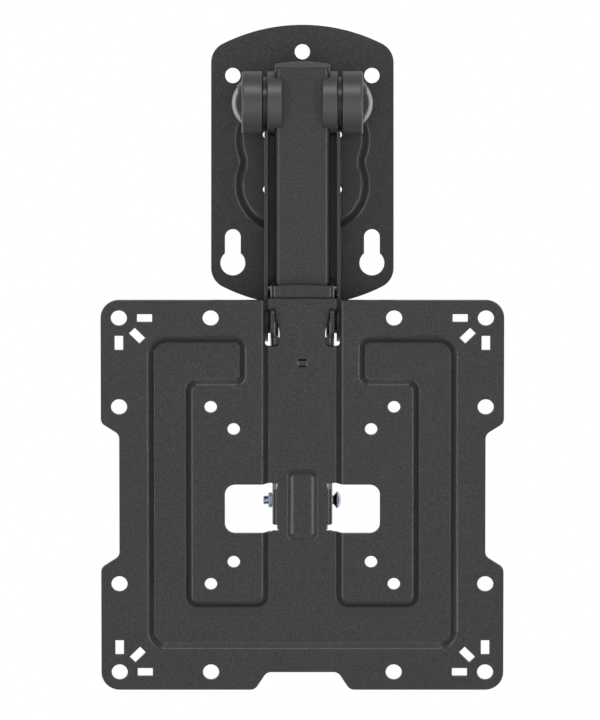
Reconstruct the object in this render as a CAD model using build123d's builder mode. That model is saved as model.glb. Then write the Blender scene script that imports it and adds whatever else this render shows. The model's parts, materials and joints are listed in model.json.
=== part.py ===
from build123d import *
import math
import os

os.makedirs("parts", exist_ok=True)

# A folding, swivelling and tilting television mount for a ceiling, folded up.
# The ceiling is the plane Z = 0 and all of the mount hangs below it. The origin lies between
# the two side screw holes of the ceiling plate, and the arm points towards -Y.
# All depths are distances below the ceiling, and left and right are as seen from below.

# Ceiling plate
plate_sheet = 2.5
plate_width = 100.0
plate_front_reach = 27.8
plate_length = 153.9
plate_end_radius = 97.0
plate_corner_radius = 11.5
screw_hole_diameter = 8.4
screw_spacing = 76.2
front_screw_offset = 13.0
keyhole_entry_diameter = 13.6
keyhole_slot_width = 8.6
keyhole_slot_offset = 88.5
keyhole_travel = 14.2
index_hole_diameter = 4.0
index_circle_radius = 24.7
index_angle = 37.4

# Raised pad of the ceiling plate
pad_height = 5.0
pad_lobe_radius = 25.9
pad_lobe_side_offset = 10.5
pad_lobe_end_offset = 12.3
pad_waist_radius = 9.0
pad_slope_angle = 35.0
pad_rim_radius = 3.0
pad_foot_radius = 2.5

# Swivel
swivel_setback = 47.5
swivel_bolt_diameter = 10.0
swivel_head_diameter = 24.0
swivel_head_height = 4.4
swivel_head_radius = 2.2
swivel_washer_diameter = 30.0
swivel_glide_thickness = 0.8
swivel_washer_thickness = 2.0
swivel_nut_flats = 17.0
swivel_nut_height = 8.0
swivel_thread_end = 1.2

# Yoke
yoke_sheet = 2.4
yoke_bend_radius = 1.4
yoke_tongue_radius = 18.0
yoke_relief_radius = 1.8
ear_gap = 38.6
ear_radius = 14.5
ear_stem_width = 26.0

# Hinge
hinge_setback = 15.6
hinge_bolt_diameter = 8.0
hinge_head_diameter = 13.0
hinge_head_height = 8.0
hinge_head_chamfer = 0.8
hinge_head_socket = 6.0
hinge_socket_depth = 4.0
hinge_washer_diameter = 17.0
hinge_washer_thickness = 1.6
hinge_friction_thickness = 0.6
hinge_nut_flats = 13.0
hinge_nut_height = 6.5

# Covers of the hinge
cover_diameter = 35.0
cover_wall = 1.8
cover_edge_radius = 1.4
groove_edge_radius = 0.5
outer_cover_length = 11.2
cover_tube_radius = 12.2
cap_diameter = 24.0
cap_bulge = 5.5
cap_wall = 1.6
cap_skirt_length = 4.0
inner_cover_lip = 4.0
inner_cover_bore = 19.0

# Arm
arm_sheet = 2.0
arm_length = 115.7
channel_width = 41.4
channel_swivel_gap = 3.3
channel_back_height = 14.0
channel_edge_drop = 9.0
channel_ear_radius = 14.5
channel_bend_radius = 2.6
cover_channel_width = 30.0
cover_face_drop = 10.5
cover_front_reach = 19.0
cover_end_gap = 8.5
cover_bend_radius = 3.0
cover_ear_radius = 12.6
plug_lip = 3.6
plug_overhang = 0.1
plug_depth = 9.0
plug_arch = 1.5
plug_edge_radius = 0.8
plug_face_radius = 0.4

# Tilt
tilt_rest_angle = 14.5
tilt_bolt_diameter = 8.0
tilt_head_flats = 13.0
tilt_head_height = 5.3
tilt_nut_height = 6.5
tilt_washer_diameter = 20.0
tilt_washer_thickness = 1.6
tilt_spacer_diameter = 14.0
limit_pin_diameter = 5.0
limit_pin_radius = 14.0
limit_slot_margin = 0.4

# Head bracket
head_sheet = 2.3
head_width = 34.8
head_face_height = 13.0
head_top_reach = 20.1
head_top_arch = 0.9
head_shoulder = 24.0
head_taper_length = 6.0
head_bend_radius = 3.2
cheek_back_height = 2.0
cheek_boss_radius = 9.5
cheek_boss_end = 2.0
cheek_corner_radius = 5.0
tail_width = 27.8
tail_past_bolt = 15.0
tail_corner_radius = 5.0
hook_length = 13.1
hook_height = 6.8
hook_nose = 0.6
hook_gap = 0.3
hook_end_radius = 2.2
lance_window_length = 18.1
lance_window_middle = 0.7
lance_window_width = 7.2
rib_clearance = 0.9

# Television plate
tv_sheet = 2.3
tv_edge_margin = 10.0
tv_top_reach = 12.9
tv_corner_radius = 10.0
tv_dish_depth = 3.7
tv_dish_slope = 3.2
notch_depth = 10.0
side_notch_mouth = 82.0
side_notch_floor = 69.0
end_notch_mouth = 52.0
end_notch_floor = 39.0
notch_radius = 4.5
dish_side_margin = 25.9
dish_top_margin = 21.3
dish_bottom_margin = 22.7
dish_corner_radius = 10.0
strip_half_width = 21.6
side_bar_width = 23.5
top_bar_width = 26.8
bottom_bar_width = 26.5
neck_half_width = 31.2
island_corner_radius = 3.6
hook_corner_radius = 5.6
dish_outer_bend = 2.6
dish_inner_bend = 1.0

# Hole patterns of the television plate
wide_pattern = 200.0
middle_pattern = 100.0
small_pattern = 75.0
wide_hole_diameter = 8.8
small_hole_diameter = 6.8
corner_slot_length = 8.2
corner_slot_width = 4.6
corner_slot_distance = 14.0

# Windows, tabs and ribs of the television plate
window_half_width = 42.3
window_top = 6.2
window_bottom = 21.4
window_corner_radius = 5.6
tab_outer_width = 32.8
tab_length = 20.0
tab_reach = 17.0
tab_relief_depth = 3.2
tab_relief_width = 3.4
tab_bend_radius = 0.6
tab_corner_radius = 3.0
ear_window_outer = 20.3
ear_window_inner = 12.5
ear_window_waist = 13.5
ear_window_neck = 15.1
ear_window_margin = 6.2
ear_window_length = 20.6
ear_window_curve = 13.0
ear_window_radius = 2.4
rib_length = 40.6
rib_width = 16.4
rib_depth = 2.5
rib_slope = 3.7
rib_middle = 6.7
rib_corner_radius = 4.2
rib_outer_bend = 1.6
bridge_margin = 36.1
bridge_foot_length = 9.4
bridge_top_length = 4.0
bridge_width = 2.8
bridge_height = 0.9
bridge_slit = 0.8

# Lock bolt
lock_bolt_diameter = 5.0
lock_bolt_height = 4.3
lock_bolt_drop = 6.2
lock_head_diameter = 9.6
lock_head_height = 2.3
lock_head_standoff = 2.5
lock_neck_length = 1.7
lock_socket_flats = 3.0
lock_socket_depth = 2.0
lock_nut_flats = 7.0
lock_nut_height = 2.2
lock_thread_past_nut = 2.7
lock_thread_end = 0.5

# Clearances
bolt_clearance = 0.1
running_clearance = 0.06
face_gap = 0.1
cover_gap = 0.2

# Worked-out places
swivel_y = -swivel_setback
hinge_y = -hinge_setback
tilt_y = hinge_y - arm_length
pad_depth = plate_sheet + pad_height
yoke_base_depth = pad_depth + swivel_glide_thickness
yoke_front_depth = yoke_base_depth + yoke_sheet
swivel_washer_depth = yoke_front_depth + swivel_glide_thickness
swivel_nut_depth = swivel_washer_depth + swivel_washer_thickness
swivel_end_depth = swivel_nut_depth + swivel_nut_height + swivel_thread_end
ear_inner_x = ear_gap / 2
ear_outer_x = ear_inner_x + yoke_sheet
cover_radius = cover_diameter / 2
channel_outer_x = channel_width / 2
channel_inner_x = channel_outer_x - arm_sheet
channel_back_depth = swivel_end_depth + channel_swivel_gap
hinge_depth = channel_back_depth + channel_back_height
tilt_depth = hinge_depth
channel_face_depth = channel_back_depth + arm_sheet
channel_edge_depth = hinge_depth + channel_edge_drop
cover_face_depth = hinge_depth + cover_face_drop
cover_channel_x = cover_channel_width / 2
cover_channel_inner_x = cover_channel_x - arm_sheet
cover_stem_width = cover_face_depth - cover_bend_radius - channel_face_depth
cover_stem_depth = channel_face_depth + cover_stem_width / 2
cheek_outer_x = head_width / 2
cheek_inner_x = cheek_outer_x - head_sheet
tail_outer_x = tail_width / 2
tail_inner_x = tail_outer_x - head_sheet
head_back_height = head_face_height - head_sheet
tv_dish_height = head_face_height + tv_sheet
tv_face_height = tv_dish_height + tv_dish_depth
tv_width = wide_pattern + 2 * tv_edge_margin
half_tv = tv_width / 2
tv_centre_reach = tv_top_reach - half_tv
dish_half_width = half_tv - dish_side_margin
dish_top = half_tv - dish_top_margin
dish_bottom = half_tv - dish_bottom_margin
island_half_width = dish_half_width - side_bar_width
island_top = dish_top - top_bar_width
island_bottom = dish_bottom - bottom_bar_width
ear_window_top = half_tv - ear_window_margin
ear_window_bottom = ear_window_top - ear_window_length
bridge_place = half_tv - bridge_margin
dish_slope_angle = math.degrees(math.atan(tv_dish_slope / tv_dish_depth))
rib_slope_angle = math.degrees(math.atan(rib_slope / rib_depth))
lock_bolt_reach = tv_centre_reach - lock_bolt_drop
tab_outer_x = tab_outer_width / 2
tab_inner_x = tab_outer_x - tv_sheet
tab_middle = (window_top - window_bottom) / 2

# Frames: x is to the right and y towards the front as seen from below, z is the depth
ceiling_frame = Plane(origin=(0, 0, 0), x_dir=(-1, 0, 0), z_dir=(0, 0, -1))
tilt_sine = math.sin(math.radians(tilt_rest_angle))
tilt_cosine = math.cos(math.radians(tilt_rest_angle))
head_frame = Plane(
    origin=(0, tilt_y, -tilt_depth),
    x_dir=(-1, 0, 0),
    z_dir=(0, -tilt_sine, -tilt_cosine),
)


def at_depth(depth):
    """Plane parallel to the ceiling, seen from below."""
    return ceiling_frame.offset(depth)


def at_side(side_x):
    """Plane square to the hinge at side_x: x towards the front, y is the depth."""
    return Plane(origin=(-side_x, 0, 0), x_dir=(0, 1, 0), z_dir=(-1, 0, 0))


def head_level(height, reach=0.0):
    """Plane parallel to the television plate, height in front of the tilt axis."""
    level = head_frame.offset(height)
    return Plane(origin=level.origin + level.y_dir * reach, x_dir=level.x_dir, z_dir=level.z_dir)


def head_side(side_x):
    """Plane square to the tilt axis: x up the television plate, y towards the television."""
    return Plane(
        origin=head_frame.origin + head_frame.x_dir * side_x,
        x_dir=head_frame.y_dir,
        z_dir=head_frame.x_dir,
    )


def tv_level(height):
    """Plane parallel to the television plate, with its origin at the plate's middle."""
    return head_level(height, tv_centre_reach)


def head_cross(reach):
    """Plane square to the head bracket's length, at a reach up the bracket."""
    return Plane(
        origin=head_frame.origin + head_frame.y_dir * reach,
        x_dir=-head_frame.x_dir,
        z_dir=head_frame.y_dir,
    )


def axle_plane(axis_y, axis_depth, side):
    """Plane through a cross axis: x outwards along the axis on that side, y is the depth."""
    return Plane(origin=(0, axis_y, -axis_depth), x_dir=(-side, 0, 0), z_dir=(0, -side, 0))


def cross_axis(axis_y, axis_depth):
    """Axis across the mount, parallel to the ceiling."""
    return Axis((0, axis_y, -axis_depth), (1, 0, 0))


def across(axis_y, axis_depth, side, start):
    """Plane square to a cross axis, start away from the middle, facing outwards: y is the depth."""
    return Plane(origin=(-side * start, axis_y, -axis_depth), x_dir=(0, side, 0), z_dir=(-side, 0, 0))


# Direction down the head bracket, from the hinge towards its tail
head_down = Axis(head_frame.origin, -head_frame.y_dir)


def level_in(frame, item):
    """Height of an edge or face above a frame's own plane."""
    return frame.to_local_coords(item.center()).Z


def edges_level(part, frame, height):
    """Edges that lie flat in the plane at height above a frame."""
    close = 0.01
    flat = []
    for edge in part.edges():
        ends = [frame.to_local_coords(vertex.center()).Z for vertex in edge.vertices()]
        middle = frame.to_local_coords(edge.position_at(0.5)).Z
        if all(abs(value - height) < close for value in ends + [middle]):
            flat.append(edge)
    return ShapeList(flat)


# Outline of the ceiling plate, with curved ends
plate_rear_y = plate_front_reach - plate_length
end_sagitta = plate_end_radius - math.sqrt(plate_end_radius**2 - (plate_width / 2) ** 2)
with BuildSketch() as plate_outline:
    with BuildLine():
        front_arc = ThreePointArc(
            (-plate_width / 2, plate_front_reach - end_sagitta),
            (0, plate_front_reach),
            (plate_width / 2, plate_front_reach - end_sagitta),
        )
        rear_arc = ThreePointArc(
            (plate_width / 2, plate_rear_y + end_sagitta),
            (0, plate_rear_y),
            (-plate_width / 2, plate_rear_y + end_sagitta),
        )
        Line(front_arc @ 1, rear_arc @ 0)
        Line(rear_arc @ 1, front_arc @ 0)
    make_face()
    fillet(plate_outline.vertices(), plate_corner_radius)

# Foot of the raised pad: four lobes with a waist at each side
with BuildSketch(Plane.XY) as pad_outline:
    with Locations((0, swivel_y)):
        with GridLocations(2 * pad_lobe_side_offset, 2 * pad_lobe_end_offset, 2, 2):
            Circle(pad_lobe_radius)
        Rectangle(2 * pad_lobe_side_offset, 2 * (pad_lobe_end_offset + pad_lobe_radius))
    waist_points = pad_outline.vertices().filter_by_position(Axis.Y, swivel_y - 1, swivel_y + 1)
    fillet(waist_points, pad_waist_radius)


def round_pad(edge):
    """Whether an edge lies round the foot of the raised pad."""
    place = edge.center()
    far_x = pad_lobe_side_offset + pad_lobe_radius
    far_y = pad_lobe_end_offset + pad_lobe_radius
    return abs(place.X) < far_x + 0.1 and abs(place.Y - swivel_y) < far_y + 0.1


with BuildPart() as ceiling_plate:
    with BuildSketch(at_depth(0)):
        add(plate_outline.sketch)
    extrude(amount=plate_sheet)
    with BuildSketch(at_depth(plate_sheet)):
        add(pad_outline.sketch)
    extrude(amount=pad_height, taper=pad_slope_angle)
    pad_rims = edges_level(ceiling_plate, ceiling_frame, pad_depth)
    fillet(pad_rims, pad_rim_radius)
    pad_foot = edges_level(ceiling_plate, ceiling_frame, plate_sheet).filter_by(round_pad)
    fillet(pad_foot, pad_foot_radius)
    with BuildSketch(at_depth(0)):
        add(pad_outline.sketch)
    extrude(amount=pad_height, taper=pad_slope_angle, mode=Mode.SUBTRACT)
    with BuildSketch(at_depth(0)):
        with Locations((-screw_spacing / 2, 0), (screw_spacing / 2, 0), (0, front_screw_offset)):
            Circle(screw_hole_diameter / 2)
        with GridLocations(screw_spacing, 0, 2, 1):
            with Locations((0, -keyhole_slot_offset - keyhole_travel)):
                Circle(keyhole_entry_diameter / 2)
            with Locations((0, -keyhole_slot_offset)):
                Circle(keyhole_slot_width / 2)
            with Locations((0, -keyhole_slot_offset - keyhole_travel / 2)):
                Rectangle(keyhole_slot_width, keyhole_travel)
    extrude(amount=plate_sheet, mode=Mode.SUBTRACT)
    with BuildSketch(at_depth(0)):
        with Locations((0, swivel_y)):
            Circle((swivel_bolt_diameter + bolt_clearance) / 2)
            for index_turn in (index_angle, 180 - index_angle, 180 + index_angle, -index_angle):
                with PolarLocations(index_circle_radius, 1, start_angle=index_turn):
                    Circle(index_hole_diameter / 2)
    extrude(amount=pad_depth, mode=Mode.SUBTRACT)
ceiling_plate.part.label = "ceiling_plate"
export_step(ceiling_plate.part, "parts/ceiling_plate.step")

# Swivel bolt: its low head lies in the pocket behind the pad
with BuildPart() as swivel_bolt:
    with BuildSketch(at_depth(pad_height - swivel_head_height)):
        with Locations((0, swivel_y)):
            Circle(swivel_head_diameter / 2)
    extrude(amount=swivel_head_height)
    fillet(swivel_bolt.edges().sort_by(Axis.Z)[-1], swivel_head_radius)
    with BuildSketch(at_depth(pad_height)):
        with Locations((0, swivel_y)):
            Circle(swivel_bolt_diameter / 2)
    extrude(amount=swivel_end_depth - pad_height)
    chamfer(swivel_bolt.edges().sort_by(Axis.Z)[0], swivel_thread_end / 2)
swivel_bolt.part.label = "swivel_bolt"
export_step(swivel_bolt.part, "parts/swivel_bolt.step")


def swivel_ring(depth, thickness, label):
    """Flat washer round the swivel bolt."""
    with BuildPart() as ring:
        with BuildSketch(at_depth(depth)):
            with Locations((0, swivel_y)):
                Circle(swivel_washer_diameter / 2)
                Circle((swivel_bolt_diameter + bolt_clearance) / 2, mode=Mode.SUBTRACT)
        extrude(amount=thickness)
    ring.part.label = label
    export_step(ring.part, f"parts/{label}.step")
    return ring.part


swivel_ring(pad_depth, swivel_glide_thickness, "swivel_glide")
swivel_ring(yoke_front_depth, swivel_glide_thickness, "swivel_friction")
swivel_ring(swivel_washer_depth, swivel_washer_thickness, "swivel_washer")

with BuildPart() as swivel_nut:
    with BuildSketch(at_depth(swivel_nut_depth)):
        with Locations((0, swivel_y)):
            RegularPolygon(swivel_nut_flats / 2, 6, major_radius=False)
            Circle((swivel_bolt_diameter + bolt_clearance) / 2, mode=Mode.SUBTRACT)
    extrude(amount=swivel_nut_height)
swivel_nut.part.label = "swivel_nut"
export_step(swivel_nut.part, "parts/swivel_nut.step")

# Yoke: a round tongue under the pad and two ears folded down to the hinge
ear_front_y = hinge_y + ear_stem_width / 2
ear_rear_y = hinge_y - ear_stem_width / 2
with BuildPart() as swivel_yoke:
    with BuildSketch(at_depth(yoke_base_depth)):
        with Locations((0, swivel_y)):
            Circle(yoke_tongue_radius)
        with Locations((0, (swivel_y + ear_front_y) / 2)):
            Rectangle(2 * yoke_tongue_radius, ear_front_y - swivel_y)
        with Locations((0, hinge_y)):
            Rectangle(2 * ear_outer_x, ear_stem_width)
    extrude(amount=yoke_sheet)
    with BuildSketch(at_side(-ear_outer_x)):
        with Locations((hinge_y, hinge_depth)):
            Circle(ear_radius)
        with Locations((hinge_y, (yoke_base_depth + hinge_depth) / 2)):
            Rectangle(ear_stem_width, hinge_depth - yoke_base_depth)
    extrude(amount=2 * ear_outer_x)
    with BuildSketch(at_side(-ear_inner_x)):
        with Locations((hinge_y, hinge_depth)):
            Rectangle(4 * ear_radius, 2 * (hinge_depth - yoke_front_depth))
    extrude(amount=2 * ear_inner_x, mode=Mode.SUBTRACT)
    outside_bends = edges_level(swivel_yoke, ceiling_frame, yoke_base_depth).filter_by(Axis.Y)
    outside_bends = outside_bends.sort_by(Axis.X)
    fillet([outside_bends[0], outside_bends[-1]], yoke_bend_radius + yoke_sheet)
    inside_bends = edges_level(swivel_yoke, ceiling_frame, yoke_front_depth).filter_by(Axis.Y)
    inside_bends = inside_bends.sort_by(Axis.X)
    fillet([inside_bends[0], inside_bends[-1]], yoke_bend_radius)
    with BuildSketch(at_depth(yoke_base_depth)):
        with Locations((-yoke_tongue_radius, ear_rear_y), (yoke_tongue_radius, ear_rear_y)):
            Circle(yoke_relief_radius)
    extrude(amount=yoke_sheet, mode=Mode.SUBTRACT)
    with BuildSketch(at_depth(yoke_base_depth)):
        with Locations((0, swivel_y)):
            Circle(swivel_bolt_diameter / 2 + running_clearance)
    extrude(amount=yoke_sheet, mode=Mode.SUBTRACT)
    with BuildSketch(at_side(-ear_outer_x)):
        with Locations((hinge_y, hinge_depth)):
            Circle(hinge_bolt_diameter / 2 + running_clearance)
    extrude(amount=2 * ear_outer_x, mode=Mode.SUBTRACT)
swivel_yoke.part.label = "swivel_yoke"
export_step(swivel_yoke.part, "parts/swivel_yoke.step")

# Stack of pieces on each hinge bolt, from the arm outwards
hinge_axis = cross_axis(hinge_y, hinge_depth)
friction_start = ear_inner_x - hinge_friction_thickness
hinge_head_start = ear_outer_x + hinge_washer_thickness
hinge_head_end = hinge_head_start + hinge_head_height
outer_cover_start = ear_outer_x + cover_gap
outer_cover_end = outer_cover_start + outer_cover_length
cap_radius = cap_diameter / 2
tube_bore_radius = cover_tube_radius - cover_wall
cap_skirt_radius = tube_bore_radius - running_clearance


def hinge_ring(side, start, length, radius, label):
    """Flat ring round a hinge bolt."""
    with BuildPart() as ring:
        with BuildSketch(across(hinge_y, hinge_depth, side, start)):
            Circle(radius)
            Circle((hinge_bolt_diameter + bolt_clearance) / 2, mode=Mode.SUBTRACT)
        extrude(amount=length)
    ring.part.label = label
    export_step(ring.part, f"parts/{label}.step")
    return ring.part


def dome_arc(base_x, base_radius, bulge):
    """Half-section of a dome, from its rim at base_x to its crown on the axis."""
    dome_radius = (base_radius**2 + bulge**2) / (2 * bulge)
    half_angle = math.asin(base_radius / dome_radius) / 2
    centre_x = base_x + bulge - dome_radius
    return ThreePointArc(
        (base_x, base_radius),
        (
            centre_x + dome_radius * math.cos(half_angle),
            dome_radius * math.sin(half_angle),
        ),
        (base_x + bulge, 0),
    )


for side, side_name in ((-1, "left"), (1, "right")):
    hinge_ring(
        side,
        cover_channel_x,
        friction_start - cover_channel_x,
        hinge_washer_diameter / 2,
        f"hinge_spacer_{side_name}",
    )
    hinge_ring(
        side,
        friction_start,
        hinge_friction_thickness,
        hinge_washer_diameter / 2,
        f"hinge_friction_{side_name}",
    )
    hinge_ring(
        side,
        ear_outer_x,
        hinge_washer_thickness,
        hinge_washer_diameter / 2,
        f"hinge_washer_{side_name}",
    )

    with BuildPart() as hinge_bolt:
        with BuildSketch(across(hinge_y, hinge_depth, side, hinge_head_start)):
            Circle(hinge_head_diameter / 2)
        extrude(amount=hinge_head_height)
        head_rim = hinge_bolt.edges().sort_by(Axis((0, 0, 0), (-side, 0, 0)))[-1]
        chamfer(head_rim, hinge_head_chamfer)
        with BuildSketch(across(hinge_y, hinge_depth, side, hinge_head_end)):
            RegularPolygon(hinge_head_socket / 2, 6, major_radius=False)
        extrude(amount=-hinge_socket_depth, mode=Mode.SUBTRACT)
        with BuildSketch(across(hinge_y, hinge_depth, side, hinge_head_start)):
            Circle(hinge_bolt_diameter / 2)
        extrude(amount=-(hinge_head_start - cover_channel_inner_x + hinge_nut_height))
    hinge_bolt.part.label = f"hinge_bolt_{side_name}"
    export_step(hinge_bolt.part, f"parts/hinge_bolt_{side_name}.step")

    with BuildPart() as hinge_nut:
        with BuildSketch(across(hinge_y, hinge_depth, side, cover_channel_inner_x)):
            RegularPolygon(hinge_nut_flats / 2, 6, major_radius=False)
            Circle((hinge_bolt_diameter + bolt_clearance) / 2, mode=Mode.SUBTRACT)
        extrude(amount=-hinge_nut_height)
    hinge_nut.part.label = f"hinge_nut_{side_name}"
    export_step(hinge_nut.part, f"parts/hinge_nut_{side_name}.step")

    # Outer cover: a moulded ring with a tube that seats on the ear
    with BuildPart() as outer_cover:
        with BuildSketch(axle_plane(hinge_y, hinge_depth, side)):
            with BuildLine():
                Polyline(
                    (outer_cover_start, cover_radius),
                    (outer_cover_end, cover_radius),
                    (outer_cover_end, tube_bore_radius),
                    (ear_outer_x, tube_bore_radius),
                    (ear_outer_x, cover_tube_radius),
                    (outer_cover_end - cover_wall, cover_tube_radius),
                    (outer_cover_end - cover_wall, cover_radius - cover_wall),
                    (outer_cover_start, cover_radius - cover_wall),
                    close=True,
                )
            make_face()
        revolve(axis=hinge_axis)
        rims = outer_cover.edges().filter_by(GeomType.CIRCLE)
        outer_rim = rims.filter_by(lambda rim: abs(rim.radius - cover_radius) < 0.01)
        fillet(outer_rim.sort_by(Axis((0, 0, 0), (-side, 0, 0)))[-1], cover_edge_radius)
        fillet(outer_rim.sort_by(Axis((0, 0, 0), (-side, 0, 0)))[0], groove_edge_radius)
    outer_cover.part.label = f"outer_cover_{side_name}"
    export_step(outer_cover.part, f"parts/outer_cover_{side_name}.step")

    # End cap: a thin dome with a skirt inside the cover's tube
    with BuildPart() as end_cap:
        with BuildSketch(axle_plane(hinge_y, hinge_depth, side)):
            with BuildLine():
                outer_dome = dome_arc(outer_cover_end, cap_radius, cap_bulge)
                inner_dome = dome_arc(
                    outer_cover_end, cap_skirt_radius - cap_wall, cap_bulge - cap_wall
                )
                Line(outer_dome @ 1, inner_dome @ 1)
                Polyline(
                    inner_dome @ 0,
                    (outer_cover_end - cap_skirt_length, cap_skirt_radius - cap_wall),
                    (outer_cover_end - cap_skirt_length, cap_skirt_radius),
                    (outer_cover_end, cap_skirt_radius),
                    outer_dome @ 0,
                )
            make_face()
        revolve(axis=hinge_axis)
    end_cap.part.label = f"end_cap_{side_name}"
    export_step(end_cap.part, f"parts/end_cap_{side_name}.step")

    # Inner cover: wraps the corner of the arm, whose channel passes through it
    inner_cover_start = cover_channel_x - inner_cover_lip
    inner_cover_length = ear_inner_x - face_gap - inner_cover_start
    with BuildPart() as inner_cover:
        with BuildSketch(across(hinge_y, hinge_depth, side, inner_cover_start)):
            Circle(cover_radius)
        extrude(amount=inner_cover_length)
        fillet(inner_cover.edges().filter_by(GeomType.CIRCLE), groove_edge_radius)
        with BuildSketch(across(hinge_y, hinge_depth, side, inner_cover_start)):
            with Locations((0, (cover_face_depth + channel_face_depth) / 2 - hinge_depth)):
                Rectangle(2 * cover_diameter, cover_face_depth - channel_face_depth)
        extrude(amount=cover_channel_x - inner_cover_start, mode=Mode.SUBTRACT)
        with BuildSketch(across(hinge_y, hinge_depth, side, inner_cover_start)):
            Circle(inner_cover_bore / 2)
        extrude(amount=inner_cover_length, mode=Mode.SUBTRACT)
    inner_cover.part.label = f"inner_cover_{side_name}"
    export_step(inner_cover.part, f"parts/inner_cover_{side_name}.step")

# Outer channel of the arm, open towards the viewer, with a round ear each side of its end
cover_relief_radius = cover_radius + cover_gap
with BuildPart() as arm_channel:
    with BuildSketch(at_side(-channel_outer_x)):
        with Locations(((hinge_y + tilt_y) / 2, (channel_back_depth + channel_edge_depth) / 2)):
            Rectangle(arm_length, channel_edge_depth - channel_back_depth)
        with Locations((tilt_y, tilt_depth)):
            Circle(channel_ear_radius)
        with Locations((hinge_y, hinge_depth)):
            Circle(cover_relief_radius, mode=Mode.SUBTRACT)
            Rectangle(2 * (ear_radius + cover_gap), 2 * cover_diameter, mode=Mode.SUBTRACT)
    extrude(amount=channel_width)
    with BuildSketch(at_side(-channel_inner_x)):
        with Locations(((hinge_y + tilt_y) / 2, channel_face_depth + channel_width)):
            Rectangle(2 * arm_length, 2 * channel_width)
    extrude(amount=2 * channel_inner_x, mode=Mode.SUBTRACT)
    with BuildSketch(at_side(-channel_inner_x)):
        with Locations((tilt_y - channel_width / 2, channel_face_depth)):
            Rectangle(channel_width, 2 * channel_width)
    extrude(amount=2 * channel_inner_x, mode=Mode.SUBTRACT)
    channel_bends = edges_level(arm_channel, ceiling_frame, channel_back_depth).filter_by(Axis.Y)
    channel_bends = channel_bends.sort_by(Axis.X)
    fillet([channel_bends[0], channel_bends[-1]], channel_bend_radius)
    with BuildSketch(at_side(-channel_outer_x)):
        with Locations((tilt_y, tilt_depth)):
            Circle((tilt_bolt_diameter + bolt_clearance) / 2)
        with Locations((tilt_y + limit_pin_radius, tilt_depth)):
            Circle((limit_pin_diameter + bolt_clearance) / 2)
    extrude(amount=channel_width, mode=Mode.SUBTRACT)
arm_channel.part.label = "arm_channel"
export_step(arm_channel.part, "parts/arm_channel.step")

# Inner channel of the arm, its web towards the viewer and its edges on the outer channel
cover_front_y = hinge_y + cover_front_reach
cover_rear_y = tilt_y + cover_end_gap
cover_length = cover_front_y - cover_rear_y
front_plane = Plane(origin=(0, cover_front_y, 0), x_dir=(1, 0, 0), z_dir=(0, -1, 0))
cover_middle_z = -(cover_face_depth + channel_face_depth) / 2
cover_height = cover_face_depth - channel_face_depth
with BuildPart() as arm_cover:
    with BuildSketch(front_plane):
        with Locations((0, cover_middle_z)):
            Rectangle(cover_channel_width, cover_height)
        with Locations((0, cover_middle_z + arm_sheet)):
            Rectangle(2 * cover_channel_inner_x, cover_height, mode=Mode.SUBTRACT)
    extrude(amount=cover_length)
    cover_bends = edges_level(arm_cover, ceiling_frame, cover_face_depth).filter_by(Axis.Y)
    fillet(cover_bends, cover_bend_radius)
    inner_bends = edges_level(arm_cover, ceiling_frame, cover_face_depth - arm_sheet)
    fillet(inner_bends.filter_by(Axis.Y), cover_bend_radius - arm_sheet)
    for ear_start in (-cover_channel_x, cover_channel_inner_x):
        with BuildSketch(at_side(ear_start)):
            with Locations((tilt_y, tilt_depth)):
                Circle(cover_ear_radius)
            with Locations((tilt_y + cover_end_gap, cover_stem_depth)):
                Rectangle(2 * cover_end_gap, cover_stem_width)
            with Locations((tilt_y, channel_face_depth / 2)):
                Rectangle(channel_width, channel_face_depth, mode=Mode.SUBTRACT)
        extrude(amount=arm_sheet)
    with BuildSketch(at_side(-cover_channel_x)):
        with Locations((hinge_y, hinge_depth)):
            Circle((hinge_bolt_diameter + bolt_clearance) / 2)
        with Locations((tilt_y, tilt_depth)):
            Circle((tilt_bolt_diameter + bolt_clearance) / 2)
        with Locations((tilt_y + limit_pin_radius, tilt_depth)):
            Circle((limit_pin_diameter + bolt_clearance) / 2)
    extrude(amount=cover_channel_width, mode=Mode.SUBTRACT)
arm_cover.part.label = "arm_cover"
export_step(arm_cover.part, "parts/arm_cover.step")

# Plug that closes the front end of the arm, with a curved lip
plug_width = cover_channel_width + 2 * plug_overhang
plug_face_depth = cover_face_depth + plug_overhang
plug_tongue_width = 2 * cover_channel_inner_x - 2 * face_gap
plug_front_y = cover_front_y + plug_lip
with BuildPart() as arm_end_plug:
    with BuildSketch(at_depth(channel_face_depth)):
        with BuildLine():
            plug_arc = ThreePointArc(
                (-plug_width / 2, plug_front_y - plug_arch),
                (0, plug_front_y),
                (plug_width / 2, plug_front_y - plug_arch),
            )
            Polyline(
                plug_arc @ 1,
                (plug_width / 2, cover_front_y),
                (-plug_width / 2, cover_front_y),
                plug_arc @ 0,
            )
        make_face()
    extrude(amount=plug_face_depth - channel_face_depth)
    fillet(arm_end_plug.edges().filter_by(Axis.Z).group_by(Axis.Y)[-1], plug_edge_radius)
    fillet(edges_level(arm_end_plug, ceiling_frame, plug_face_depth), plug_face_radius)
    with BuildSketch(at_depth(channel_face_depth)):
        with Locations((0, cover_front_y - plug_depth / 2)):
            Rectangle(plug_tongue_width, plug_depth)
    extrude(amount=cover_height - arm_sheet - face_gap)
    tongue_top = cover_face_depth - arm_sheet - face_gap
    tongue_edges = edges_level(arm_end_plug, ceiling_frame, tongue_top).filter_by(Axis.Y)
    fillet(tongue_edges, cover_bend_radius - arm_sheet)
arm_end_plug.part.label = "arm_end_plug"
export_step(arm_end_plug.part, "parts/arm_end_plug.step")

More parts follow.
